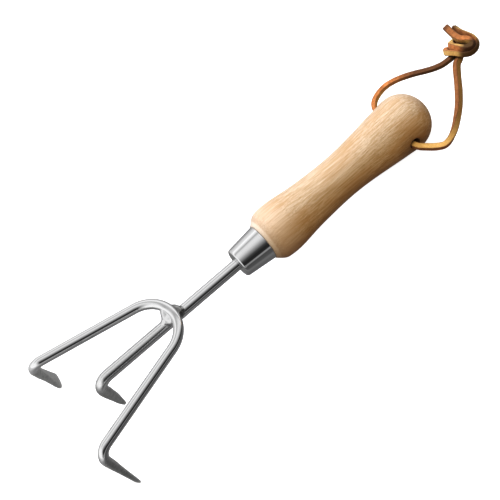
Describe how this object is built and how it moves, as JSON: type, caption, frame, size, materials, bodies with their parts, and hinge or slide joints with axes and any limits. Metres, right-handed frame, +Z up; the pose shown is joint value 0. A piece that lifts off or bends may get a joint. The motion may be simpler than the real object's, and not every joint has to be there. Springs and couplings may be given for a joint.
{
  "type": "hand cultivator",
  "caption": "Hand cultivator: forged steel tines on a straight neck, tapered ferrule, waisted turned wooden handle, and a knotted leather hanging loop that swings in its cross hole.",
  "frame": {"origin": "on the tool axis, in the plane where the ferrule meets the wooden handle", "axes": "+X along the tool axis towards the tines, +Z up with the tips pointing down, +Y to the left when looking along +X"},
  "size_m": [0.3417, 0.1018, 0.0609],
  "materials": {
    "polished_steel": "mirror-polished stainless steel, satin and darker on the forged blades",
    "weld_steel": "dressed weld bead",
    "ash_wood": "turned ash, oiled",
    "epoxy": "cured epoxy",
    "thong_leather": "brown grain side, tan cut edges"
  },
  "bodies": {
    "tool": {"centre_rod": "polished_steel", "outer_tines": "polished_steel", "rear_weld": "weld_steel", "front_weld": "weld_steel", "ferrule": "polished_steel", "handle": "ash_wood", "tang_adhesive": "epoxy"},
    "thong": {"leather_thong": "thong_leather"}
  },
  "joints": [
    {"name": "thong_swing", "type": "hinge", "parent": "tool", "child": "thong", "pos_m": [-0.111, 0, 0], "axis": [0, 1, 0], "range_deg": [-125, 95]}
  ]
}
